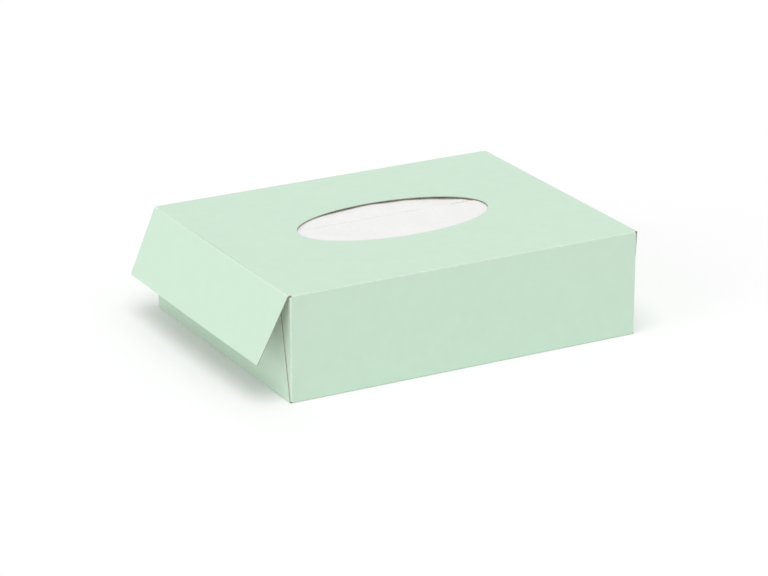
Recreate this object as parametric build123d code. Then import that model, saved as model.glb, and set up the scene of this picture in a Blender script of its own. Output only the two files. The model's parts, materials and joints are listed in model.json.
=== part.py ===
from build123d import *
import os

# Tissue box: a carton folded from one sheet of board, with an oval opening in its top panel.
# One end is glued shut. At the other end the upper flap has come unstuck and stands open.
# Frame: origin at the middle of the base, X along the box with the open end at -X, Z up.

# Driving dimensions, in millimetres and degrees
LENGTH = 240.0
WIDTH = 185.0
HEIGHT = 67.0
BOARD = 0.5
FOLD_INSIDE = 0.25

OVAL_LENGTH = 130.0
OVAL_WIDTH = 65.0

TOP_FLAP_LENGTH = 45.0
TOP_FLAP_TAPER = 3.0
BOTTOM_FLAP_SHORT_OF_TOP = 13.0
BOTTOM_FLAP_TAPER = 11.0
DUST_FLAP_LENGTH = 58.0
DUST_FLAP_TAPER = 5.0
FLAP_CORNER = 1.0
FLAP_SIDE_GAP = 0.15

FLAP_OPENING = 25.0
HINGE_GAP = 0.1
FLAP_SEAT_GAP = 0.2

LAP_WIDTH = 14.0
LAP_SLANT = 6.0

STACK_HEADROOM = 1.7
STACK_CROWN = 2.0
STACK_BULGE = 1.5
STACK_SHOULDER = 6.0
STACK_SIDE_GAP = 0.6
STACK_END_GAP = 0.6
TOP_SHEET_THICKNESS = 0.8
TOP_SHEET_PAST_MIDDLE = 9.0

# Sizes that follow from the driving ones
FOLD_OUTSIDE = FOLD_INSIDE + BOARD
BOTTOM_FLAP_LENGTH = HEIGHT - BOTTOM_FLAP_SHORT_OF_TOP
FLAP_SETBACK = FOLD_OUTSIDE + FLAP_SIDE_GAP
MAJOR_FLAP_ROOT = WIDTH - 2 * FLAP_SETBACK
DUST_FLAP_ROOT = HEIGHT - 2 * FLAP_SETBACK
OPEN_END = -LENGTH / 2
GLUED_END = LENGTH / 2

# Where the outer face of each layer of an end lies, counted inwards from that end of the box
OPEN_BOTTOM_DEPTH = BOARD + FLAP_SEAT_GAP
OPEN_DUST_DEPTH = OPEN_BOTTOM_DEPTH + BOARD
GLUED_BOTTOM_DEPTH = BOARD
GLUED_DUST_DEPTH = GLUED_BOTTOM_DEPTH + BOARD

TUBE_START = OPEN_END + OPEN_DUST_DEPTH + FOLD_OUTSIDE
TUBE_FINISH = GLUED_END - GLUED_DUST_DEPTH - FOLD_OUTSIDE
HINGE_X = OPEN_END + BOARD / 2
HINGE_Z = HEIGHT - BOARD / 2


def quarter_fold(across, down):
    """Section of one right-angled fold, centred on its bend, in the quarter that the two signs name."""
    quarter = Pos(across * FOLD_OUTSIDE / 2, down * FOLD_OUTSIDE / 2) * Rectangle(FOLD_OUTSIDE, FOLD_OUTSIDE)
    return (Circle(FOLD_OUTSIDE) - Circle(FOLD_INSIDE)) & quarter


def flap_outline(root, taper, start, length):
    """A flap's cut outline, hanging from its fold: narrower at the tip, with rounded corners there."""
    outline = Polygon(
        (taper - root / 2, -length),
        (root / 2 - taper, -length),
        (root / 2, -start),
        (-root / 2, -start),
        align=None,
    )
    return fillet(outline.vertices().group_by(Axis.Y)[0], FLAP_CORNER)


def folded_flap(root, taper, length):
    """A flap turned down at a right angle from a panel that lies in XY, face up, and ends at X = 0."""
    bend = Plane.XZ * Pos(0, -FOLD_OUTSIDE) * quarter_fold(1, 1)
    leaf = Plane.YZ.offset(FOLD_INSIDE) * flap_outline(root, taper, FOLD_OUTSIDE, length)
    return extrude(bend, root / 2, both=True) + extrude(leaf, BOARD)


def tube_section():
    """The four panels in section, with the seam at the lower rear edge.

    The bottom panel turns up inside the rear panel there, as the start of the glued lap.
    """
    outer = RectangleRounded(WIDTH, HEIGHT, FOLD_OUTSIDE)
    inner = RectangleRounded(WIDTH - 2 * BOARD, HEIGHT - 2 * BOARD, FOLD_INSIDE)
    seam_fold_y = WIDTH / 2 - BOARD - FOLD_OUTSIDE
    seam_corner = Rectangle(BOARD + FOLD_OUTSIDE, FOLD_OUTSIDE, align=(Align.MIN, Align.MIN))
    ring = Pos(0, HEIGHT / 2) * (outer - inner)
    return ring - Pos(seam_fold_y, 0) * seam_corner + Pos(seam_fold_y, FOLD_OUTSIDE) * quarter_fold(1, -1)


def seam_lap():
    """The lap that closes the tube, glued to the inside of the rear panel, with slanted ends."""
    inner_face = Plane.XZ.offset(-(WIDTH / 2 - 2 * BOARD))
    outline = Polygon(
        (TUBE_START, FOLD_OUTSIDE),
        (TUBE_FINISH, FOLD_OUTSIDE),
        (TUBE_FINISH - LAP_SLANT, LAP_WIDTH),
        (TUBE_START + LAP_SLANT, LAP_WIDTH),
        align=None,
    )
    return extrude(inner_face * outline, -BOARD)


def panel_end(x_from, x_to, outer_z, inwards):
    """The stretch of the top or bottom panel between the tube and the fold of its flap."""
    strip = Box(x_to - x_from, MAJOR_FLAP_ROOT, BOARD, align=(Align.MIN, Align.CENTER, Align.CENTER))
    return Pos(x_from, 0, outer_z + inwards * BOARD / 2) * strip


def dust_flaps(end, outwards, depth):
    """The two narrow flaps of an end, turned in from the side panels before the others."""
    fold_x = end - outwards * (depth + FOLD_OUTSIDE)
    leaf = folded_flap(DUST_FLAP_ROOT, DUST_FLAP_TAPER, DUST_FLAP_LENGTH)
    front = Plane(origin=(fold_x, -WIDTH / 2, HEIGHT / 2), x_dir=(outwards, 0, 0), z_dir=(0, -1, 0))
    rear = Plane(origin=(fold_x, WIDTH / 2, HEIGHT / 2), x_dir=(outwards, 0, 0), z_dir=(0, 1, 0))
    return front * leaf + rear * leaf


def bottom_flap(end, outwards, depth):
    """The flap turned up from the bottom panel, over the dust flaps."""
    fold_x = end - outwards * (depth + FOLD_OUTSIDE)
    fold = Plane(origin=(fold_x, 0, 0), x_dir=(outwards, 0, 0), z_dir=(0, 0, -1))
    return fold * folded_flap(MAJOR_FLAP_ROOT, BOTTOM_FLAP_TAPER, BOTTOM_FLAP_LENGTH)


def glued_top_flap():
    """The flap turned down from the top panel over the bottom flap, at the end that is glued shut."""
    fold = Plane(origin=(GLUED_END - FOLD_OUTSIDE, 0, HEIGHT), x_dir=(1, 0, 0), z_dir=(0, 0, 1))
    return fold * folded_flap(MAJOR_FLAP_ROOT, TOP_FLAP_TAPER, TOP_FLAP_LENGTH)


def carton():
    """The whole folded sheet, apart from the flap that swings."""
    box = extrude(Plane.YZ.offset(TUBE_START) * tube_section(), TUBE_FINISH - TUBE_START)
    box += seam_lap()
    box += panel_end(OPEN_END + BOARD + HINGE_GAP, TUBE_START, HEIGHT, -1)
    box += panel_end(OPEN_END + OPEN_BOTTOM_DEPTH + FOLD_OUTSIDE, TUBE_START, 0, 1)
    box += panel_end(TUBE_FINISH, GLUED_END - FOLD_OUTSIDE, HEIGHT, -1)
    box += panel_end(TUBE_FINISH, GLUED_END - GLUED_BOTTOM_DEPTH - FOLD_OUTSIDE, 0, 1)
    box += dust_flaps(OPEN_END, -1, OPEN_DUST_DEPTH)
    box += bottom_flap(OPEN_END, -1, OPEN_BOTTOM_DEPTH)
    box += dust_flaps(GLUED_END, 1, GLUED_DUST_DEPTH)
    box += bottom_flap(GLUED_END, 1, GLUED_BOTTOM_DEPTH)
    box += glued_top_flap()
    oval = Plane.XY.offset(HEIGHT - BOARD) * Ellipse(OVAL_LENGTH / 2, OVAL_WIDTH / 2)
    return box - extrude(oval, BOARD)


def end_flap():
    """The upper flap of the open end, rounded along its fold so that it turns about the hinge line."""
    closed = Plane.YZ.offset(OPEN_END)
    leaf = flap_outline(MAJOR_FLAP_ROOT, TOP_FLAP_TAPER, 0, TOP_FLAP_LENGTH - BOARD / 2)
    flap = extrude(closed * Pos(0, HINGE_Z) * leaf, BOARD)
    root = Pos(HINGE_X, 0, HINGE_Z) * Rot(90, 0, 0) * Cylinder(BOARD / 2, MAJOR_FLAP_ROOT)
    return (flap + root).rotate(Axis((HINGE_X, 0, HINGE_Z), (0, 1, 0)), FLAP_OPENING)


def tissue_stack():
    """The folded tissues as one block: cut flat at the ends, folded and bulging along the long sides.

    Its top is crowned, and the uppermost tissue ends in a folded edge a little past the middle.
    """
    side_y = WIDTH / 2 - 2 * BOARD - STACK_SIDE_GAP
    foot_y = side_y - STACK_BULGE
    crown_z = HEIGHT - 2 * BOARD - STACK_HEADROOM - TOP_SHEET_THICKNESS
    edge_z = crown_z - STACK_CROWN
    shoulder_z = edge_z - STACK_SHOULDER
    start_x = OPEN_END + OPEN_DUST_DEPTH + BOARD + STACK_END_GAP
    finish_x = GLUED_END - GLUED_DUST_DEPTH - BOARD - STACK_END_GAP

    front = ThreePointArc((-foot_y, 0), (-side_y, shoulder_z / 2), (-foot_y, shoulder_z))
    rear = ThreePointArc((foot_y, shoulder_z), (side_y, shoulder_z / 2), (foot_y, 0))
    top_y = foot_y - STACK_SHOULDER
    front_shoulder = RadiusArc(front @ 1, (-top_y, edge_z), STACK_SHOULDER)
    rear_shoulder = RadiusArc((top_y, edge_z), rear @ 0, STACK_SHOULDER)
    crown = ThreePointArc(front_shoulder @ 1, (0, crown_z), rear_shoulder @ 0)
    foot = Line(rear @ 1, front @ 0)
    pile = make_face([front, front_shoulder, crown, rear_shoulder, rear, foot])

    lifted = Pos(0, TOP_SHEET_THICKNESS) * pile - pile
    kept = Rectangle(WIDTH, HEIGHT, align=(Align.MAX, Align.MIN))
    sheet = lifted & Pos(TOP_SHEET_PAST_MIDDLE, shoulder_z) * kept
    floor = Plane.YZ.offset(start_x) * Pos(0, BOARD)
    return extrude(floor * (pile + sheet), finish_x - start_x)


def main():
    os.makedirs("parts", exist_ok=True)
    export_step(carton(), "parts/carton.step")
    export_step(end_flap(), "parts/end_flap.step")
    export_step(tissue_stack(), "parts/tissue_stack.step")


main()
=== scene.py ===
import json
import math
import random
from collections import namedtuple

import bmesh
import bpy
from bpy.props import FloatProperty, FloatVectorProperty, IntProperty, PointerProperty
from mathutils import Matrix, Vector


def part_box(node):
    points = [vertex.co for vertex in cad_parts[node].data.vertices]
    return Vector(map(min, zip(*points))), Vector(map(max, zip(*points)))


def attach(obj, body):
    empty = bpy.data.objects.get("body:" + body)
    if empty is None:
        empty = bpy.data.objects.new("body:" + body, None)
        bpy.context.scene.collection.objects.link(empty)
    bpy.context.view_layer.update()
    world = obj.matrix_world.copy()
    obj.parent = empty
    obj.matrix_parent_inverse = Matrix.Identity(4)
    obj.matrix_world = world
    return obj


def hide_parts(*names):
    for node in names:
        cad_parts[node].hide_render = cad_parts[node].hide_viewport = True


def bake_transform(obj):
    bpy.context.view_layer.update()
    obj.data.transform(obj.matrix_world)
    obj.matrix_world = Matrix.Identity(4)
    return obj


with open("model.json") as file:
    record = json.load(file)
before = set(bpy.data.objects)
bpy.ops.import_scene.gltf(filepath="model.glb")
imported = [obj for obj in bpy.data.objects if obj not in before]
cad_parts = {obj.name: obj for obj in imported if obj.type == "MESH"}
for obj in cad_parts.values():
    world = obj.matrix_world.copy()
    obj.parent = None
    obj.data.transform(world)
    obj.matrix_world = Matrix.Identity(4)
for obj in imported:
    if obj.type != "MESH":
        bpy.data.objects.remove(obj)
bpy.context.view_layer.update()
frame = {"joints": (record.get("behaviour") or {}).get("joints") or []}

bl_info = {
    "name": "Tissue Box",
    "version": (1, 0, 0),
    "blender": (4, 5, 0),
    "location": "3D View > Sidebar > Tissue Box",
    "description": "Folds a tissue carton from its flat blank, fills it with tissues and lights it",
    "category": "Object",
}

MM = 0.001

# Sizes that the frame gives. The flap's hinge line lies in the middle of the board's thickness.
CARTON_LOW, CARTON_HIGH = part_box("carton")
STACK_LOW, STACK_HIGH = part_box("tissue_stack")
FLAP_HINGE = frame["joints"][0]
HINGE = Vector(FLAP_HINGE["pos_m"])
FLAP_OPENING = -math.radians(FLAP_HINGE["range_deg"][0])
HEIGHT = CARTON_HIGH.z
WIDTH = CARTON_HIGH.y - CARTON_LOW.y
BOARD = 2 * (HEIGHT - HINGE.z)
GLUED_END = CARTON_HIGH.x
OPEN_END = HINGE.x - BOARD / 2

# Material slots of a sheet of board, counted from its printed outside
BARE = 1
CUT_EDGE = 2

# Wear of the print at folds: its share along an edge, and how far the heavier wear reaches from a corner
WEAR = "fold_wear"
EDGE_WEAR = 0.45
CORNER_REACH = 9 * MM

# How near two places are that count as one, and two faces that count as one flat panel
SAME = MM / 100
FLUSH = MM / 10

# Faces round a crease, a flap's corner or a fold of tissue, and the angles up to which edges look smooth
ROUND_STEPS = 6
SMOOTH_BOARD = math.radians(35)
SMOOTH_TISSUE = math.radians(25)

# A face or a vertex points upwards if its normal rises by more than this
UPWARD = 0.3


def linear(code):
    """The linear colour of an sRGB hex value."""
    shares = [int(code[i:i + 2], 16) / 255 for i in (1, 3, 5)]
    return [s / 12.92 if s <= 0.04045 else ((s + 0.055) / 1.055) ** 2.4 for s in shares]


def length(name, description, millimetres):
    """A length that a user may change, given in millimetres."""
    return FloatProperty(
        name=name, description=description, default=millimetres * MM, min=0, unit="LENGTH", precision=5
    )


def colour(name, description, code):
    """A colour that a user may change, given as an sRGB hex value."""
    return FloatVectorProperty(
        name=name, description=description, default=linear(code), min=0, max=1, size=3, subtype="COLOR"
    )


class BlankSizes(bpy.types.PropertyGroup):
    """The flat sheet that the carton is folded from"""

    fold: length("Fold", "Outside radius of a crease once it is folded", 0.75)
    setback: length("Setback", "How far a flap stays clear of the box's corners", 0.9)
    notch: length("Notch", "How far the cut between two flaps runs in past their folds", 0.1)
    glue: length("Glue", "Thickness of the glue between two layers of board", 0.03)
    seat: length("Seat", "Room between the end's lower flap and the upper one when that is shut", 0.2)
    oval_length: length("Oval length", "Length of the opening in the top panel", 130)
    oval_width: length("Oval width", "Width of the opening in the top panel", 65)
    top_flap: length("Top flap", "Length of the flaps on the top panel", 45)
    top_taper: length("Top flap taper", "How much a top flap narrows on each side", 3)
    bottom_flap: length("Bottom flap", "Length of the flaps on the bottom panel", 54)
    bottom_taper: length("Bottom flap taper", "How much a bottom flap narrows on each side", 11)
    dust_flap: length("Dust flap", "Length of the flaps on the side panels", 58)
    dust_taper: length("Dust flap taper", "How much a dust flap narrows on each side", 5)
    corner: length("Corner", "Radius of the corners of a flap's tip", 1)
    lap: length("Lap", "Width of the glued lap inside the lower rear edge", 14)
    lap_slant: length("Lap slant", "How much the lap shortens at each end", 6)
    mesh: length("Mesh", "Size of the faces that a panel is divided into", 5)
    oval_ring: length("Oval ring", "Least width of the faces that join the opening to the panel", 7.5)
    top_rise: length("Top rise", "How far the tissues push the top panel up round its opening", 0.3)
    rise_reach: length("Rise reach", "How far past the opening that push runs out", 45)
    side_bulge: length("Side bulge", "How far the tissues push the long sides out", 0.7)
    flap_curl: length("Flap curl", "How far the middle of the loose flap's edge curls outwards", 0.9)
    curl_width: length("Curl width", "Width of the part of that edge that curls most", 46)
    curl_reach: length("Curl reach", "How far past that part the curl runs out", 70)
    flap_gape: length("Flap gape", "How far the glued upper flap's edge stands off between its glue", 0.5)
    glue_spots: length("Glue spots", "Distance between the two spots of glue on that flap", 92)


class TissueSizes(bpy.types.PropertyGroup):
    """The pile of folded tissues"""

    crown: length("Crown", "How much the middle of the pile stands above its long sides", 2)
    puff: length("Puff", "How much higher the pile rises under the opening, where it is free", 2.4)
    puff_reach: length("Puff reach", "How far past the opening's edge that rise runs out", 50)
    bulge: length("Bulge", "How much the folded long sides bulge", 1.5)
    shoulder: length("Shoulder", "Radius of the pile's upper long edges", 6)
    layer: length("Layer", "Height of one folded tissue, drawn thicker than a real one so that it shows", 1.3)
    raggedness: length("Raggedness", "How far one tissue's edge stands back from the next", 0.9)
    mesh: length("Mesh", "Size of the faces that the pile's top is divided into", 3)
    sheet: length("Top sheet", "Thickness of the uppermost folded tissue", 0.8)
    past_middle: length("Past middle", "How far the uppermost tissue's folded edge lies behind the middle", 9)
    fold_round: length("Fold rounding", "Radius of that folded edge", 0.56)
    ripple: length("Ripple", "Height of the soft waves in the uppermost tissue", 2.2)
    ripple_size: length("Ripple size", "Distance over which those waves rise and fall", 26)
    wander: length("Wander", "How far the uppermost tissue's folded edge strays from a straight line", 1.6)
    wander_size: length("Wander size", "Distance over which that edge strays and comes back", 38)
    clearance: length("Clearance", "Least room between the tissues and the inside of the top panel", 0.25)
    rim: length("Rim", "How far inside the opening's edge that panel still holds the tissues down", 4.5)
    seed: IntProperty(name="Seed", description="Chooses how uneven the tissues' edges are", default=7)


class Finishes(bpy.types.PropertyGroup):
    """Colours of the box, its tissues and what they stand on"""

    printed: colour("Printed board", "The print on the outside of the carton", "#D0EAD5")
    bare: colour("Bare board", "The unprinted inside of the carton", "#CFC8BA")
    fleck: colour("Fleck", "Specks in the bare board", "#8C8474")
    coating: colour("Coating", "The white clay under the print, bared where a fold has cracked it", "#F3F5EF")
    core: colour("Board core", "The board where it is cut", "#B4AA98")
    tissue: colour("Tissue", "The tissues", "#FAFAF8")
    floor: colour("Floor", "The sweep of paper that the box stands on", "#FFFFFF")


class StageSettings(bpy.types.PropertyGroup):
    """Camera and light"""

    lens: FloatProperty(name="Lens", description="Focal length on a 36 mm sensor", default=150, unit="CAMERA")
    azimuth: FloatProperty(
        name="Azimuth", description="Camera's way round the box, from its front",
        default=math.radians(-28.59), subtype="ANGLE",
    )
    elevation: FloatProperty(
        name="Elevation", description="Camera's height above the horizon",
        default=math.radians(20.24), subtype="ANGLE",
    )
    distance: length("Distance", "From the camera to the point that it aims at", 1991.5)
    aim: FloatVectorProperty(
        name="Aim", description="Point that the camera aims at", default=(-6.6 * MM, 0, 22.4 * MM),
        subtype="TRANSLATION",
    )
    sky: FloatProperty(name="Sky", description="Strength of the even light from all round", default=0.59)
    key: FloatProperty(name="Key", description="Strength of the lamp above the front", default=1.1)
    key_from: FloatVectorProperty(
        name="Key from", description="Where the lamp above the front stands", default=(-0.35, -0.55, 2.0),
        subtype="TRANSLATION",
    )
    fill: FloatProperty(
        name="Fill", description="Strength of the low lamp that lights the open end", default=0.45
    )
    fill_from: FloatVectorProperty(
        name="Fill from", description="Where the low lamp stands", default=(-2.0, -0.35, 0.6),
        subtype="TRANSLATION",
    )
    breadth: FloatProperty(
        name="Breadth", description="Angle that each lamp fills", default=math.radians(40), subtype="ANGLE"
    )
    sweep: length("Sweep", "Side of the sheet of paper that the box stands on", 60000)


class BoxSettings(bpy.types.PropertyGroup):
    """All that a user may change"""

    blank: PointerProperty(type=BlankSizes)
    tissues: PointerProperty(type=TissueSizes)
    finishes: PointerProperty(type=Finishes)
    stage: PointerProperty(type=StageSettings)


def settings():
    """What the user has set in the open scene."""
    return bpy.context.scene.tissue_box


# Editing by hand

def start_piece(name, primitive, **sizes):
    """Adds a primitive at the origin as a new piece, alone in the selection, and opens it for editing."""
    bpy.ops.object.select_all(action="DESELECT")
    primitive(enter_editmode=True, location=(0, 0, 0), **sizes)
    piece = bpy.context.object
    piece.name = name
    piece.data.name = name
    return piece


def middle(element):
    """Where a vertex is, or the middle of an edge or a face."""
    if isinstance(element, bmesh.types.BMVert):
        return element.co
    if isinstance(element, bmesh.types.BMFace):
        return element.calc_center_median()
    return (element.verts[0].co + element.verts[1].co) / 2


def pick(kind, where=None, which=None):
    """Selects the vertices, edges or faces whose place and own state pass the tests, and nothing else."""
    bpy.ops.mesh.select_mode(type=kind)
    bpy.ops.mesh.select_all(action="DESELECT")
    mesh = bpy.context.object.data
    shape = bmesh.from_edit_mesh(mesh)
    elements = {"VERT": shape.verts, "EDGE": shape.edges, "FACE": shape.faces}[kind]
    chosen = list(elements)
    if where:
        chosen = [element for element in chosen if where(middle(element))]
    if which:
        chosen = [element for element in chosen if which(element)]
    if not chosen:
        raise RuntimeError(f"nothing to select in {bpy.context.object.name}")
    for element in chosen:
        element.select_set(True)
    shape.select_flush_mode()
    bmesh.update_edit_mesh(mesh)


def move(x=0.0, y=0.0, z=0.0, reach=0.0, falloff="SMOOTH", over_surface=False):
    """Moves the selection, and with a reach what lies around it too, less and less with distance.

    The distance is straight, or else counted over the surface.
    """
    bpy.ops.transform.translate(
        value=(x, y, z),
        use_proportional_edit=reach > 0,
        proportional_size=max(reach, MM),
        proportional_edit_falloff=falloff,
        use_proportional_connected=over_surface,
    )


def pull(x=0.0, y=0.0, z=0.0):
    """Extrudes the selected edges as a new strip."""
    bpy.ops.mesh.extrude_edges_move(TRANSFORM_OT_translate={"value": (x, y, z)})


def stretch(about, x=1.0, y=1.0, z=1.0):
    """Scales the selection about a point."""
    bpy.ops.transform.resize(value=(x, y, z), center_override=about)


def turn(axis, about, angle):
    """Turns the selection by the right-hand rule. With no window the operator itself turns the other way."""
    bpy.ops.transform.rotate(value=-angle, orient_axis=axis, orient_type="GLOBAL", center_override=about)


def cut(axis, distance, where=None):
    """Cuts the faces whose place passes the test along a plane across the axis."""
    if where:
        pick("FACE", where)
    else:
        bpy.ops.mesh.select_all(action="SELECT")
    across = Vector((axis == "X", axis == "Y", axis == "Z"))
    bpy.ops.mesh.bisect(plane_co=across * distance, plane_no=across, threshold=SAME)


def bent(angle):
    """Tests for an edge where two faces meet at more than the angle."""
    return lambda edge: len(edge.link_faces) == 2 and edge.calc_face_angle() > angle


def steps(low, high, size):
    """Evenly spaced places between two ends, both left out, about this far apart."""
    count = max(1, round((high - low) / size))
    return [low + (high - low) * i / count for i in range(1, count)]


def wear_selection():
    """Marks the selected vertices as worn, the more the nearer they are to a corner of the box."""
    mesh = bpy.context.object.data
    shape = bmesh.from_edit_mesh(mesh)
    layer = shape.verts.layers.float.get(WEAR) or shape.verts.layers.float.new(WEAR)
    for vertex in shape.verts:
        if vertex.select:
            place = vertex.co
            end = min(abs(place.x - OPEN_END), abs(place.x - GLUED_END))
            side = WIDTH / 2 - abs(place.y)
            level = min(abs(place.z), abs(place.z - HEIGHT))
            away = max(end, side, level)
            vertex[layer] = EDGE_WEAR + (1 - EDGE_WEAR) * math.exp(-away / CORNER_REACH)
    bmesh.update_edit_mesh(mesh)


def give_board(piece):
    """Leaves editing and gives a folded sheet its thickness and its three finishes."""
    bpy.ops.object.mode_set(mode="OBJECT")
    for dress in (matt_varnished_print, uncoated_board_back, die_cut_board_edge):
        piece.data.materials.append(finish_with(dress))
    thickness = piece.modifiers.new("board", "SOLIDIFY")
    thickness.thickness = BOARD
    thickness.offset = -1
    thickness.use_even_offset = True
    thickness.use_quality_normals = True
    thickness.material_offset = BARE
    thickness.material_offset_rim = CUT_EDGE
    bpy.ops.object.modifier_apply(modifier=thickness.name)
    bpy.ops.object.shade_smooth_by_angle(angle=SMOOTH_BOARD)


# Carton

# A panel's place across the flat blank, the creases at its two ends, and the flap beyond them
Panel = namedtuple("Panel", "low high open_crease glued_crease flap taper")


def panels(sizes):
    """The blank's panels. Each is set in by the layers of board that fold over it."""
    layer = BOARD + sizes.glue
    front = -WIDTH / 2
    bottom = front - HEIGHT
    lap = bottom - (WIDTH - layer)
    rear_edge = WIDTH / 2 + HEIGHT - sizes.fold
    under_flap = BOARD + sizes.seat
    side_ends = (OPEN_END + under_flap + layer, GLUED_END - 2 * layer, sizes.dust_flap, sizes.dust_taper)
    bottom_ends = (OPEN_END + under_flap, GLUED_END - layer, sizes.bottom_flap, sizes.bottom_taper)
    return {
        "top": Panel(front, -front, None, GLUED_END, sizes.top_flap, sizes.top_taper),
        "front": Panel(bottom, front, *side_ends),
        "bottom": Panel(lap, bottom, *bottom_ends),
        "rear": Panel(-front, rear_edge, *side_ends),
    }


def creases(panel):
    """The creases at a panel's ends and the way out over each, without that of the loose flap."""
    both = ((panel.glued_crease, 1), (panel.open_crease, -1))
    return [(crease, outwards) for crease, outwards in both if crease is not None]


def within(panel):
    """Tests whether a place of the flat blank lies on a panel or on its flaps."""
    return lambda place: panel.low < place.y < panel.high


def lay_out_blank(sizes, blank):
    """Cuts the flat sheet: a strip of panels along the box, and the flaps at their ends."""
    clear = sizes.fold + sizes.notch
    tube_start = blank["front"].open_crease + clear
    tube_finish = blank["front"].glued_crease - clear
    stretch((0, 0, 0), tube_finish - tube_start, WIDTH)
    move((tube_start + tube_finish) / 2, 0, HEIGHT)

    pick("EDGE", lambda place: place.y < -WIDTH / 2 + SAME)
    pull(y=-HEIGHT)
    pull(y=blank["bottom"].low - blank["bottom"].high)
    pull(y=-sizes.lap)
    lap_middle = ((tube_start + tube_finish) / 2, blank["bottom"].low - sizes.lap, HEIGHT)
    stretch(lap_middle, x=1 - 2 * sizes.lap_slant / (tube_finish - tube_start))
    pick("EDGE", lambda place: place.y > WIDTH / 2 - SAME)
    pull(y=blank["rear"].high - blank["rear"].low)

    for panel in blank.values():
        cut("Y", panel.low + sizes.setback)
        cut("Y", panel.high - sizes.setback)
    for panel in blank.values():
        add_flap(sizes, panel, tube_finish, panel.glued_crease, 1)
        if panel.open_crease is None:
            pick("EDGE", end_edge(sizes, panel, tube_start))
            pull(x=OPEN_END + sizes.fold - tube_start)
        else:
            add_flap(sizes, panel, tube_start, panel.open_crease, -1)
    return tube_start, tube_finish


def end_edge(sizes, panel, end):
    """Tests for the edge at a panel's end between the two cuts beside its corners."""
    inner_low = panel.low + sizes.setback
    inner_high = panel.high - sizes.setback
    return lambda place: abs(place.x - end) < SAME and inner_low < place.y < inner_high


def add_flap(sizes, panel, end, crease, outwards):
    """Draws out a panel's end to its crease and a flap beyond it, and rounds the flap's tip."""
    root = panel.high - panel.low - 2 * sizes.setback
    tip = crease + outwards * panel.flap
    pick("EDGE", end_edge(sizes, panel, end))
    pull(x=crease - end)
    pull(x=tip - crease)
    stretch((tip, (panel.low + panel.high) / 2, HEIGHT), y=1 - 2 * panel.taper / root)
    pick("VERT", lambda place: abs(place.x - tip) < SAME and within(panel)(place))
    bpy.ops.mesh.bevel(offset=sizes.corner, segments=ROUND_STEPS, affect="VERTICES")


def divide_blank(sizes, blank, tube_start, tube_finish):
    """Divides the sheet into small faces, with a line close to each crease so that the panels stay flat."""
    for distance in steps(tube_start, tube_finish, sizes.mesh):
        cut("X", distance)
    seam = blank["bottom"].low
    for distance in steps(seam - sizes.lap, seam, sizes.mesh):
        cut("Y", distance, lambda place: place.y < seam)
    for panel in blank.values():
        for distance in steps(panel.low + sizes.setback, panel.high - sizes.setback, sizes.mesh):
            cut("Y", distance, within(panel))
        for crease, outwards in creases(panel):
            near = crease + outwards * sizes.setback
            far = crease + outwards * panel.flap
            for distance in [near, *steps(near, far, sizes.mesh)]:
                cut("X", distance, within(panel))


def cut_oval(sizes, tube_start, tube_finish):
    """Opens the top panel: faces round the middle are taken out, and the gap is bridged to an oval.

    Two rings in one plane come out twisted, so the oval is held above the panel until they are joined.
    """
    columns = steps(tube_start, tube_finish, sizes.mesh)
    rows = steps(-WIDTH / 2 + sizes.setback, WIDTH / 2 - sizes.setback, sizes.mesh)
    left = max(x for x in columns if x < -sizes.oval_length / 2 - sizes.oval_ring)
    right = min(x for x in columns if x > sizes.oval_length / 2 + sizes.oval_ring)
    reach = min(y for y in rows if y > sizes.oval_width / 2 + sizes.oval_ring)
    gap_columns = [x for x in columns if left <= x <= right]
    gap_rows = [y for y in rows if abs(y) < reach + SAME]

    def in_gap(place):
        return left < place.x < right and abs(place.y) < reach

    pick("FACE", in_gap)
    bpy.ops.mesh.delete(type="FACE")
    corners = 2 * (len(gap_columns) + len(gap_rows) - 2)
    lift = sizes.oval_width
    bpy.ops.mesh.primitive_circle_add(vertices=corners, radius=0.5, location=(0, 0, HEIGHT + lift))
    stretch((0, 0, HEIGHT), sizes.oval_length, sizes.oval_width)

    def round_gap(place):
        return left - SAME < place.x < right + SAME and abs(place.y) < reach + SAME

    pick("EDGE", round_gap, lambda edge: edge.is_boundary or edge.is_wire)
    bpy.ops.mesh.bridge_edge_loops(number_cuts=2, interpolation="LINEAR")
    pick("VERT", lambda place: place.z > HEIGHT + SAME)
    stretch((0, 0, HEIGHT), z=0)


def in_oval(place, sizes, margin=0.0):
    """Tests whether a place lies below or above the opening, and by the margin inside its edge."""
    half_length = sizes.oval_length / 2 - margin
    half_width = sizes.oval_width / 2 - margin
    return math.hypot(place.x / half_length, place.y / half_width) < 1


def fold_blank(sizes, blank):
    """Folds the flaps down, then the panels round the box, and rounds every crease."""
    quarter = math.pi / 2
    for panel in blank.values():
        for crease, outwards in creases(panel):
            pick("VERT", lambda place: within(panel)(place) and outwards * (place.x - crease) > SAME)
            turn("Y", (crease, 0, HEIGHT), outwards * quarter)
    front = -WIDTH / 2
    rear = WIDTH / 2
    seam = rear - BOARD - sizes.glue
    pick("VERT", lambda place: place.y < front - SAME)
    turn("X", (0, front, HEIGHT), quarter)
    pick("VERT", lambda place: place.z < -SAME)
    turn("X", (0, front, 0), quarter)
    pick("VERT", lambda place: place.y > seam + SAME and place.z < SAME)
    turn("X", (0, seam, 0), quarter)
    pick("VERT", lambda place: place.y > rear + SAME)
    turn("X", (0, rear, HEIGHT), -quarter)

    pick("EDGE", which=bent(quarter / 2))
    bpy.ops.mesh.bevel(offset=sizes.fold, segments=ROUND_STEPS, profile=0.5, affect="EDGES")
    wear_selection()


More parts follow.
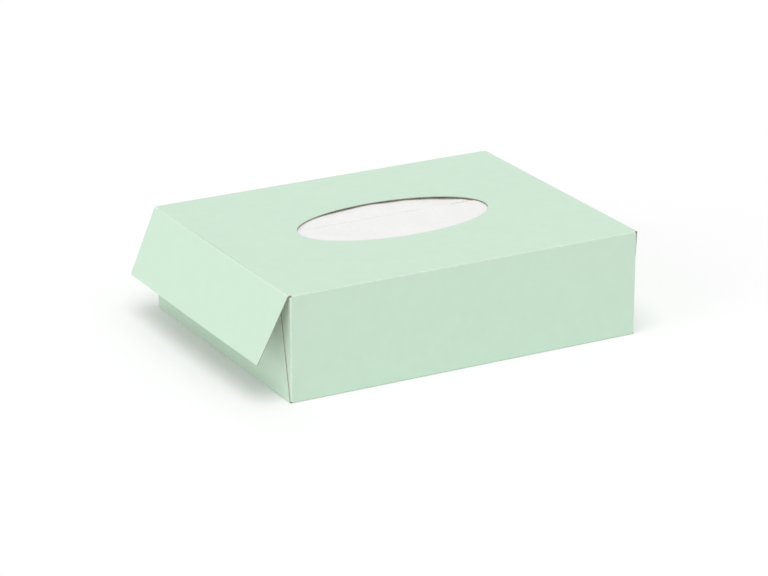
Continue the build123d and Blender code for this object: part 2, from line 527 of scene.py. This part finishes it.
def press_panels_out(sizes):
    """Bows the panels that the tissues press on, less and less towards their creases.

    The glued upper flap stands off between its spots of glue.
    """
    half_run = GLUED_END - HEIGHT / 2
    half_length = sizes.oval_length / 2 + sizes.mesh
    half_width = sizes.oval_width / 2 + sizes.mesh
    free_edge = HEIGHT - sizes.top_flap

    def along_middle(place):
        return abs(place.x) < half_run and abs(place.z - HEIGHT / 2) < sizes.mesh

    def round_oval(place):
        return abs(place.x) < half_length and abs(place.y) < half_width

    def between_glue(place):
        return abs(place.z - free_edge) < sizes.mesh / 2 and abs(place.y) < sizes.glue_spots / 2

    for side in (-1, 1):
        wall = side * WIDTH / 2
        pick("VERT", lambda place: abs(place.y - wall) < FLUSH and along_middle(place))
        move(y=side * sizes.side_bulge, reach=HEIGHT / 2 - sizes.setback)
    pick("VERT", lambda place: abs(place.z - HEIGHT) < FLUSH and round_oval(place))
    move(z=sizes.top_rise, reach=sizes.rise_reach)
    pick("VERT", lambda place: abs(place.x - GLUED_END) < FLUSH and between_glue(place))
    move(x=sizes.flap_gape, reach=sizes.top_flap, over_surface=True)


class FoldCarton(bpy.types.Operator):
    """Fold the carton from its blank, apart from the loose flap"""

    bl_idname = "tissue_box.fold_carton"
    bl_label = "Fold Carton"
    bl_options = {"REGISTER", "UNDO"}

    def execute(self, context):
        sizes = settings().blank
        blank = panels(sizes)
        carton = start_piece("folded_carton", bpy.ops.mesh.primitive_plane_add, size=1)
        tube_start, tube_finish = lay_out_blank(sizes, blank)
        divide_blank(sizes, blank, tube_start, tube_finish)
        cut_oval(sizes, tube_start, tube_finish)
        fold_blank(sizes, blank)
        press_panels_out(sizes)
        give_board(carton)
        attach(carton, "carton")
        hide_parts("carton")
        return {"FINISHED"}


# Loose flap

# The angle that the flap is turned down by at rest, where the outsides of panel and flap would meet, how far
# the crease's rounding runs from there, and the ways down the flap and out of it
FlapFold = namedtuple("FlapFold", "turned crease rounding along outwards")


def flap_fold(sizes):
    """Works out the loose flap's fold at rest, from the hinge and the opening that the frame gives."""
    turned = math.pi / 2 - FLAP_OPENING
    half_turn = math.tan(turned / 2)
    crease = Vector((HINGE.x - BOARD / 2 * half_turn, 0, HEIGHT))
    along = Vector((-math.sin(FLAP_OPENING), 0, -math.cos(FLAP_OPENING)))
    outwards = Vector((-math.cos(FLAP_OPENING), 0, math.sin(FLAP_OPENING)))
    return FlapFold(turned, crease, sizes.fold * half_turn, along, outwards)


def lay_out_flap(sizes, fold):
    """Draws the flat flap out from the top panel's edge, rounds its tip and divides it into small faces."""
    root = WIDTH - 2 * sizes.setback
    start = OPEN_END + sizes.fold
    crease = fold.crease.x
    tip = HINGE.x - 2 * (HINGE.x - crease) - (sizes.top_flap - BOARD / 2)
    stretch((0, 0, 0), start - crease, root)
    move((start + crease) / 2, 0, HEIGHT)
    pick("EDGE", lambda place: abs(place.x - crease) < SAME)
    pull(x=tip - crease)
    stretch((tip, 0, HEIGHT), y=1 - 2 * sizes.top_taper / root)
    pick("VERT", lambda place: abs(place.x - tip) < SAME)
    bpy.ops.mesh.bevel(offset=sizes.corner, segments=ROUND_STEPS, affect="VERTICES")
    near = crease - sizes.setback
    for distance in [near, *steps(near, tip, sizes.mesh)]:
        cut("X", distance)
    for distance in steps(-root / 2, root / 2, sizes.mesh):
        cut("Y", distance)


def fold_flap(sizes, fold):
    """Turns the flap down, rounds its crease and curls the middle of its free edge outwards."""
    pick("VERT", lambda place: place.x < fold.crease.x - SAME)
    turn("Y", fold.crease, -fold.turned)
    pick("EDGE", which=bent(fold.turned / 2))
    bpy.ops.mesh.bevel(offset=fold.rounding, segments=ROUND_STEPS, profile=0.5, affect="EDGES")
    wear_selection()
    free_edge = sizes.top_flap - sizes.mesh / 2

    def curls_most(place):
        return (place - HINGE).dot(fold.along) > free_edge and abs(place.y) < sizes.curl_width / 2

    pick("VERT", curls_most)
    move(*(fold.outwards * sizes.flap_curl), reach=sizes.curl_reach)


def join_at_crease(flap):
    """Bakes the flap's place into its mesh."""
    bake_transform(flap)


class FoldEndFlap(bpy.types.Operator):
    """Fold the loose upper flap of the open end, with the crease that joins it to the top panel"""

    bl_idname = "tissue_box.fold_end_flap"
    bl_label = "Fold End Flap"
    bl_options = {"REGISTER", "UNDO"}

    def execute(self, context):
        sizes = settings().blank
        fold = flap_fold(sizes)
        flap = start_piece("loose_end_flap", bpy.ops.mesh.primitive_plane_add, size=1)
        lay_out_flap(sizes, fold)
        fold_flap(sizes, fold)
        give_board(flap)
        join_at_crease(flap)
        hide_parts("end_flap")
        return {"FINISHED"}


# Tissues

STACK_MIDDLE = (STACK_LOW + STACK_HIGH) / 2
STACK_LENGTH = STACK_HIGH.x - STACK_LOW.x

# Noise of the soft waves that moves nothing, where they go both ways and where they mostly go down
WAVES_MIDDLE = 0.5
WAVES_CREST = 0.7


def block_out_pile(sizes, foot, brow):
    """Adds the pile as a block with rounded upper long edges."""
    pile = start_piece("tissue_pile", bpy.ops.mesh.primitive_cube_add, size=1)
    stretch((0, 0, 0), STACK_LENGTH, 2 * foot, brow - STACK_LOW.z)
    move(STACK_MIDDLE.x, 0, (brow + STACK_LOW.z) / 2)
    pick("EDGE", lambda place: place.z > brow - SAME and abs(place.y) > foot - SAME)
    bpy.ops.mesh.bevel(offset=sizes.shoulder, segments=ROUND_STEPS, profile=0.5, affect="EDGES")
    return pile


def divide_pile(sizes, foot, levels):
    """Cuts the pile into its tissues, and its top into small faces with a line where the uppermost ends."""
    for level in levels:
        cut("Z", level)
    for distance in steps(STACK_LOW.x, STACK_HIGH.x, sizes.mesh):
        cut("X", distance)
    fold_y = sizes.past_middle
    rows = [*steps(-foot + sizes.shoulder, fold_y, sizes.mesh), fold_y]
    rows += steps(fold_y, foot - sizes.shoulder, sizes.mesh)
    for distance in rows:
        cut("Y", distance)


def lay_top_sheet(sizes, brow):
    """Raises the uppermost tissue as far as its folded edge, and rounds that edge."""
    fold_y = sizes.past_middle

    def on_sheet(place):
        return place.z > brow - sizes.shoulder and place.y < fold_y

    def on_folded_edge(place):
        return abs(place.y - fold_y) < SAME and place.z > brow + sizes.sheet / 2

    def runs_along(edge):
        return abs(edge.verts[0].co.x - edge.verts[1].co.x) > SAME

    pick("FACE", on_sheet, lambda face: face.normal.z > UPWARD)
    bpy.ops.mesh.extrude_region_move(TRANSFORM_OT_translate={"value": (0, 0, sizes.sheet)})
    pick("EDGE", on_folded_edge, runs_along)
    bpy.ops.mesh.bevel(offset=sizes.fold_round, segments=ROUND_STEPS, profile=0.5, affect="EDGES")


def loosen_edges(sizes, foot, brow, levels):
    """Sets each tissue's edges back by its own little distance, and bulges the folded long sides."""
    chance = random.Random(sizes.seed)
    for level in levels:
        back = sizes.raggedness * chance.random()
        pick("VERT", lambda place: abs(place.z - level) < SAME)
        stretch((STACK_MIDDLE.x, 0, level), 1 - 2 * back / STACK_LENGTH, 1 - back / foot)
    innermost = foot - sizes.raggedness - FLUSH
    for side in (-1, 1):
        pick("VERT", lambda place: side * place.y > innermost and abs(place.z - brow / 2) < sizes.layer)
        move(y=side * sizes.bulge, reach=brow / 2 - sizes.layer)


def raise_top(sizes, foot, brow):
    """Crowns the pile's top along its middle, and lets it rise further under the opening."""
    opening = settings().blank
    pick("VERT", lambda place: place.z < brow - SAME)
    bpy.ops.mesh.hide()
    pick("VERT", lambda place: place.z > brow + SAME and abs(place.y) < sizes.mesh)
    move(z=sizes.crown, reach=foot, falloff="INVERSE_SQUARE", over_surface=True)
    pick("VERT", lambda place: place.z > brow + SAME and in_oval(place, opening))
    move(z=sizes.puff, reach=sizes.puff_reach, over_surface=True)
    bpy.ops.mesh.reveal(select=False)


def wave(piece, which, direction, size, height, still):
    """Waves the vertices that pass the test softly. Still is the noise that moves nothing."""
    group = piece.vertex_groups.new(name="waving")
    group.add([vertex.index for vertex in piece.data.vertices if which(vertex)], 1.0, "REPLACE")
    clouds = bpy.data.textures.new("soft waves", "CLOUDS")
    clouds.noise_scale = size
    clouds.noise_depth = 1
    waves = piece.modifiers.new("waves", "DISPLACE")
    waves.texture = clouds
    waves.texture_coords = "LOCAL"
    waves.direction = direction
    waves.vertex_group = group.name
    waves.mid_level = still
    waves.strength = height
    bpy.ops.object.modifier_apply(modifier=waves.name)
    bpy.data.textures.remove(clouds)
    piece.vertex_groups.clear()


def crumple_top(pile, sizes, foot, brow):
    """Waves the top, clear of its ends and sides, and lets the uppermost tissue's folded edge stray."""
    half_length = (STACK_LENGTH - sizes.mesh) / 2
    half_width = foot - sizes.shoulder - sizes.mesh / 2

    def on_top(vertex):
        place = vertex.co
        clear = abs(place.x - STACK_MIDDLE.x) < half_length and abs(place.y) < half_width
        return clear and place.z > brow - SAME and vertex.normal.z > UPWARD

    def by_folded_edge(vertex):
        place = vertex.co
        return place.z > brow - sizes.ripple and abs(place.y - sizes.past_middle) < sizes.mesh / 2

    wave(pile, on_top, "Z", sizes.ripple_size, sizes.ripple, WAVES_CREST)
    wave(pile, by_folded_edge, "Y", sizes.wander_size, sizes.wander, WAVES_MIDDLE)


def hold_down(pile, sizes):
    """Keeps the tissues below the top panel, apart from where it is open."""
    opening = settings().blank
    limit = HEIGHT - BOARD - sizes.clearance
    for vertex in pile.data.vertices:
        place = vertex.co
        if place.z > limit and not in_oval(place, opening, sizes.rim):
            place.z = limit


class StackTissues(bpy.types.Operator):
    """Stack the folded tissues that show through the oval"""

    bl_idname = "tissue_box.stack_tissues"
    bl_label = "Stack Tissues"
    bl_options = {"REGISTER", "UNDO"}

    def execute(self, context):
        sizes = settings().tissues
        # Half the pile's width at its foot, and the height at which its top starts to crown
        foot = STACK_HIGH.y - sizes.bulge
        brow = STACK_HIGH.z - sizes.sheet - sizes.crown
        levels = steps(STACK_LOW.z, brow, sizes.layer)
        pile = block_out_pile(sizes, foot, brow)
        divide_pile(sizes, foot, levels)
        lay_top_sheet(sizes, brow)
        loosen_edges(sizes, foot, brow, levels)
        raise_top(sizes, foot, brow)
        bpy.ops.object.mode_set(mode="OBJECT")
        crumple_top(pile, sizes, foot, brow)
        hold_down(pile, sizes)
        pile.data.materials.append(finish_with(creped_two_ply_tissue))
        bpy.ops.object.shade_smooth_by_angle(angle=SMOOTH_TISSUE)
        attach(pile, "carton")
        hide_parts("tissue_stack")
        return {"FINISHED"}


# Materials

# Sockets of the Mix node that hold colours
MIX_A, MIX_B, MIX_RESULT = 6, 7, 2

# Light that the paper below the box seems to give off in the picture, as a share of white
PAPER_GLOW = 0.045


def per_metre(millimetres):
    """Scale of a pattern whose features are this far apart."""
    return 1 / (millimetres * MM)


def add_node(tree, kind, inputs=None, **values):
    """Adds a node, sets its own values, and sets or links each input that is named."""
    node = tree.nodes.new(kind)
    for name, value in values.items():
        setattr(node, name, value)
    for name, value in (inputs or {}).items():
        if isinstance(value, bpy.types.NodeSocket):
            tree.links.new(value, node.inputs[name])
        else:
            node.inputs[name].default_value = value
    return node


def finish_with(dress):
    """The material that a function dresses, made when it is first asked for."""
    name = dress.__name__
    material = bpy.data.materials.get(name)
    if material is None:
        material = bpy.data.materials.new(name)
        material.use_nodes = True
        tree = material.node_tree
        tree.nodes.clear()
        surface = dress(tree, settings().finishes)
        add_node(tree, "ShaderNodeOutputMaterial", {"Surface": surface.outputs["BSDF"]})
    return material


def matt_varnished_print(tree, finishes):
    # Clay-coated folding board, offset-printed in one pale green under a matt water varnish. The eye sees
    # an even colour with faint ink mottle, a broad soft highlight, the board's grain, and print cracked at
    # folds.
    place = add_node(tree, "ShaderNodeTexCoord").outputs["Object"]
    along_grain = add_node(
        tree, "ShaderNodeMapping", {"Vector": place, "Scale": (0.25, 1, 1)}
    ).outputs["Vector"]
    mottle = add_node(
        tree, "ShaderNodeTexNoise", {"Vector": place, "Scale": per_metre(9), "Detail": 4.0, "Roughness": 0.6}
    ).outputs["Fac"]
    # Fibres are about 0.03 mm wide, and are drawn far coarser so that they show
    fibres = add_node(
        tree, "ShaderNodeTexNoise", {"Vector": along_grain, "Scale": per_metre(1.2), "Detail": 5.0}
    ).outputs["Fac"]
    cracks = add_node(
        tree, "ShaderNodeTexNoise",
        {"Vector": place, "Scale": per_metre(2.5), "Detail": 4.0, "Roughness": 0.65},
    ).outputs["Fac"]

    tone = add_node(
        tree, "ShaderNodeMapRange",
        {"Value": mottle, "From Min": 0.3, "From Max": 0.7, "To Min": 0.97, "To Max": 1.0},
    ).outputs["Result"]
    ink = add_node(
        tree, "ShaderNodeVectorMath", {"Vector": finishes.printed, "Scale": tone}, operation="SCALE"
    ).outputs["Vector"]
    cracked = add_node(
        tree, "ShaderNodeMapRange",
        {"Value": cracks, "From Min": 0.40, "From Max": 0.62, "To Min": 0.1, "To Max": 0.75},
        interpolation_type="SMOOTHSTEP",
    ).outputs["Result"]
    folded = add_node(tree, "ShaderNodeAttribute", attribute_name=WEAR).outputs["Fac"]
    worn = add_node(tree, "ShaderNodeMath", {0: folded, 1: cracked}, operation="MULTIPLY").outputs["Value"]
    tint = add_node(
        tree, "ShaderNodeMix", {0: worn, MIX_A: ink, MIX_B: (*finishes.coating, 1)}, data_type="RGBA"
    ).outputs[MIX_RESULT]
    rough = add_node(
        tree, "ShaderNodeMapRange",
        {"Value": mottle, "From Min": 0.3, "From Max": 0.7, "To Min": 0.43, "To Max": 0.55},
    ).outputs["Result"]
    grain = add_node(tree, "ShaderNodeBump", {"Height": fibres, "Strength": 0.35, "Distance": 0.05 * MM})
    return add_node(
        tree, "ShaderNodeBsdfPrincipled",
        {"Base Color": tint, "Roughness": rough, "IOR": 1.5, "Normal": grain.outputs["Normal"]},
    )


def uncoated_board_back(tree, finishes):
    # The unprinted back of recycled board: warm grey, dull, with cloudy fibres and a few darker flecks
    place = add_node(tree, "ShaderNodeTexCoord").outputs["Object"]
    clouds = add_node(
        tree, "ShaderNodeTexNoise", {"Vector": place, "Scale": per_metre(6), "Detail": 6.0, "Roughness": 0.7}
    ).outputs["Fac"]
    # Flecks are shreds of about 0.2 mm, and are drawn several times larger so that they show
    flecks = add_node(tree, "ShaderNodeTexVoronoi", {"Vector": place, "Scale": per_metre(4.5)})
    tone = add_node(
        tree, "ShaderNodeMapRange",
        {"Value": clouds, "From Min": 0.25, "From Max": 0.75, "To Min": 0.88, "To Max": 1.06},
    ).outputs["Result"]
    pulp = add_node(
        tree, "ShaderNodeVectorMath", {"Vector": finishes.bare, "Scale": tone}, operation="SCALE"
    ).outputs["Vector"]
    speck = add_node(
        tree, "ShaderNodeMapRange",
        {"Value": flecks.outputs["Distance"],
         "From Min": 0.07, "From Max": 0.13, "To Min": 0.45, "To Max": 0.0},
    ).outputs["Result"]
    tint = add_node(
        tree, "ShaderNodeMix", {0: speck, MIX_A: pulp, MIX_B: (*finishes.fleck, 1)}, data_type="RGBA"
    ).outputs[MIX_RESULT]
    nap = add_node(tree, "ShaderNodeBump", {"Height": clouds, "Strength": 0.5, "Distance": 0.08 * MM})
    return add_node(
        tree, "ShaderNodeBsdfPrincipled",
        {"Base Color": tint, "Roughness": 0.92, "IOR": 1.45, "Normal": nap.outputs["Normal"]},
    )


def die_cut_board_edge(tree, finishes):
    # The die-cut edge shows the recycled pulp inside the board, greyer than its back, dull and uneven
    place = add_node(tree, "ShaderNodeTexCoord").outputs["Object"]
    pulp = add_node(
        tree, "ShaderNodeTexNoise", {"Vector": place, "Scale": per_metre(1.8), "Detail": 4.0}
    ).outputs["Fac"]
    tone = add_node(
        tree, "ShaderNodeMapRange",
        {"Value": pulp, "From Min": 0.3, "From Max": 0.7, "To Min": 0.86, "To Max": 1.02},
    ).outputs["Result"]
    tint = add_node(
        tree, "ShaderNodeVectorMath", {"Vector": finishes.core, "Scale": tone}, operation="SCALE"
    ).outputs["Vector"]
    return add_node(tree, "ShaderNodeBsdfPrincipled", {"Base Color": tint, "Roughness": 0.95, "IOR": 1.45})


def creped_two_ply_tissue(tree, finishes):
    # Soft two-ply tissue: bright white and without gloss, with fine crepe ridges across the sheet. Where a
    # pile shows its side, the edges of the sheets lie in level lines, with painted shade darkening the colour
    # between them.
    # Real crepe is about 0.4 mm from ridge to ridge, and is drawn coarser so that it shows.
    surface = add_node(tree, "ShaderNodeTexCoord")
    place = surface.outputs["Object"]
    along_ridges = add_node(
        tree, "ShaderNodeMapping", {"Vector": place, "Scale": (1, 0.16, 1)}
    ).outputs["Vector"]
    crepe = add_node(
        tree, "ShaderNodeTexNoise",
        {"Vector": along_ridges, "Scale": per_metre(1.3), "Detail": 3.0, "Roughness": 0.55},
    ).outputs["Fac"]
    lint = add_node(
        tree, "ShaderNodeTexNoise", {"Vector": place, "Scale": per_metre(7), "Detail": 4.0}
    ).outputs["Fac"]
    crepe_tone = add_node(
        tree, "ShaderNodeMapRange",
        {"Value": crepe, "From Min": 0.3, "From Max": 0.7, "To Min": 0.965, "To Max": 1.0},
    ).outputs["Result"]
    # Sheets are about 0.1 mm thick, and are drawn ten times as thick so that they show
    level = add_node(tree, "ShaderNodeMapping", {"Vector": place, "Scale": (0.02, 0.02, 1)}).outputs["Vector"]
    sheets = add_node(
        tree, "ShaderNodeTexNoise", {"Vector": level, "Scale": per_metre(1), "Detail": 2.0}
    ).outputs["Fac"]
    # Painted shade: how much the colour darkens in the lines between the sheets
    painted_gap_shade = add_node(
        tree, "ShaderNodeMapRange",
        {"Value": sheets, "From Min": 0.4, "From Max": 0.55, "To Min": 0.3, "To Max": 0.0},
    ).outputs["Result"]
    upward = add_node(tree, "ShaderNodeSeparateXYZ", {"Vector": surface.outputs["Normal"]}).outputs["Z"]
    side = add_node(
        tree, "ShaderNodeMapRange",
        {"Value": upward, "From Min": 0.5, "From Max": 0.8, "To Min": 1.0, "To Max": 0.0},
    ).outputs["Result"]
    # The painted shade falls only on faces that turn sideways, where the pile shows its side
    shadow = add_node(tree, "ShaderNodeMath", {0: painted_gap_shade, 1: side}, operation="MULTIPLY").outputs["Value"]
    # The crepe's tone, less the painted shade between the sheets
    tone = add_node(
        tree, "ShaderNodeMath", {0: crepe_tone, 1: shadow}, operation="SUBTRACT"
    ).outputs["Value"]
    tint = add_node(
        tree, "ShaderNodeVectorMath", {"Vector": finishes.tissue, "Scale": tone}, operation="SCALE"
    ).outputs["Vector"]
    height = add_node(
        tree, "ShaderNodeMath", {0: lint, 1: 0.8, 2: crepe}, operation="MULTIPLY_ADD"
    ).outputs["Value"]
    ridges = add_node(tree, "ShaderNodeBump", {"Height": height, "Strength": 0.7, "Distance": 0.3 * MM})
    return add_node(
        tree, "ShaderNodeBsdfPrincipled",
        {"Base Color": tint, "Roughness": 0.95, "IOR": 1.4, "Sheen Weight": 0.2, "Sheen Roughness": 0.6,
         "Normal": ridges.outputs["Normal"]},
    )


def in_sight(tree):
    """One where the camera sees a surface, straight, mirrored or through glass, and nought elsewhere."""
    path = add_node(tree, "ShaderNodeLightPath").outputs
    mirrored = add_node(
        tree, "ShaderNodeMath",
        {0: path["Is Glossy Ray"], 1: path["Is Transmission Ray"]}, operation="MAXIMUM",
    ).outputs["Value"]
    return add_node(
        tree, "ShaderNodeMath", {0: path["Is Camera Ray"], 1: mirrored}, operation="MAXIMUM"
    ).outputs["Value"]


def matt_white_paper(tree, finishes):
    # A wide roll of matt white paper, which takes soft shadows. In the picture alone it is a little
    # brighter than its light makes it, so that it is white where no shadow falls.
    place = add_node(tree, "ShaderNodeTexCoord").outputs["Object"]
    cloud = add_node(tree, "ShaderNodeTexNoise", {"Vector": place, "Scale": per_metre(40), "Detail": 3.0})
    tone = add_node(
        tree, "ShaderNodeMapRange", {"Value": cloud.outputs["Fac"], "To Min": 0.995, "To Max": 1.0}
    ).outputs["Result"]
    tint = add_node(
        tree, "ShaderNodeVectorMath", {"Vector": finishes.floor, "Scale": tone}, operation="SCALE"
    ).outputs["Vector"]
    glow = add_node(tree, "ShaderNodeMath", {0: in_sight(tree), 1: PAPER_GLOW}, operation="MULTIPLY")
    return add_node(
        tree, "ShaderNodeBsdfPrincipled",
        {"Base Color": tint, "Roughness": 0.95, "IOR": 1.3,
         "Emission Color": (1, 1, 1, 1), "Emission Strength": glow.outputs["Value"]},
    )


# Stage

# Width of the camera's sensor, in millimetres, and how far it sees, in metres
SENSOR_WIDTH = 36
FAR_LIMIT = 100


def add_floor(stage):
    """Lays the paper just below the base, so that the two don't share a plane."""
    floor = start_piece("floor", bpy.ops.mesh.primitive_plane_add, size=stage.sweep)
    move(z=-FLUSH)
    bpy.ops.object.mode_set(mode="OBJECT")
    floor.data.materials.append(finish_with(matt_white_paper))


def add_world(stage):
    """Even white light. What the camera sees past the floor, or mirrored, is plain white."""
    world = bpy.data.worlds.new("white studio")
    world.use_nodes = True
    tree = world.node_tree
    tree.nodes.clear()
    light = add_node(tree, "ShaderNodeBackground", {"Color": (1, 1, 1, 1), "Strength": stage.sky})
    white = add_node(tree, "ShaderNodeBackground", {"Color": (1, 1, 1, 1), "Strength": 1.0})
    either = add_node(
        tree, "ShaderNodeMixShader",
        {0: in_sight(tree), 1: light.outputs["Background"], 2: white.outputs["Background"]},
    )
    add_node(tree, "ShaderNodeOutputWorld", {"Surface": either.outputs["Shader"]})
    bpy.context.scene.world = world


def aim_at(thing, target):
    """Points a lamp or a camera at a place, upright."""
    thing.rotation_euler = (Vector(target) - thing.location).to_track_quat("-Z", "Y").to_euler()


def add_lamp(name, strength, place, breadth):
    """A broad lamp far off, so that the floor is as bright everywhere."""
    bpy.ops.object.light_add(type="SUN", location=place)
    lamp = bpy.context.object
    lamp.name = name
    lamp.data.energy = strength
    lamp.data.angle = breadth
    aim_at(lamp, (0, 0, 0))


def add_camera(stage):
    """Sets the camera round the point that it aims at."""
    level = math.cos(stage.elevation)
    back = Vector((
        math.sin(stage.azimuth) * level, -math.cos(stage.azimuth) * level, math.sin(stage.elevation)
    ))
    bpy.ops.object.camera_add(location=Vector(stage.aim) + back * stage.distance)
    camera = bpy.context.object
    camera.data.lens = stage.lens
    camera.data.sensor_width = SENSOR_WIDTH
    camera.data.clip_end = FAR_LIMIT
    aim_at(camera, stage.aim)
    bpy.context.scene.camera = camera


class SetStage(bpy.types.Operator):
    """Lay the floor and set the light and the camera"""

    bl_idname = "tissue_box.set_stage"
    bl_label = "Set Stage"
    bl_options = {"REGISTER", "UNDO"}

    def execute(self, context):
        stage = settings().stage
        add_floor(stage)
        add_world(stage)
        add_lamp("key_lamp", stage.key, stage.key_from, stage.breadth)
        add_lamp("fill_lamp", stage.fill, stage.fill_from, stage.breadth)
        add_camera(stage)
        context.scene.view_settings.view_transform = "Standard"
        return {"FINISHED"}


class TissueBoxPanel(bpy.types.Panel):
    """Lists the box's sizes and finishes and the steps that build it"""

    bl_idname = "VIEW3D_PT_tissue_box"
    bl_label = "Tissue Box"
    bl_space_type = "VIEW_3D"
    bl_region_type = "UI"
    bl_category = "Tissue Box"

    def draw(self, context):
        groups = settings()
        for name in ("blank", "tissues", "finishes", "stage"):
            box = self.layout.box()
            group = getattr(groups, name)
            for prop in group.bl_rna.properties:
                if prop.identifier not in ("rna_type", "name"):
                    box.prop(group, prop.identifier)
        for step in STEPS:
            self.layout.operator(step.bl_idname)


STEPS = (FoldCarton, FoldEndFlap, StackTissues, SetStage)
CLASSES = (BlankSizes, TissueSizes, Finishes, StageSettings, BoxSettings, *STEPS, TissueBoxPanel)


def register():
    for cls in CLASSES:
        bpy.utils.register_class(cls)
    bpy.types.Scene.tissue_box = PointerProperty(type=BoxSettings)


def unregister():
    del bpy.types.Scene.tissue_box
    for cls in reversed(CLASSES):
        bpy.utils.unregister_class(cls)


def main():
    register()
    bpy.ops.tissue_box.fold_carton()
    bpy.ops.tissue_box.fold_end_flap()
    bpy.ops.tissue_box.stack_tissues()
    bpy.ops.tissue_box.set_stage()


if __name__ == "__main__":
    main()
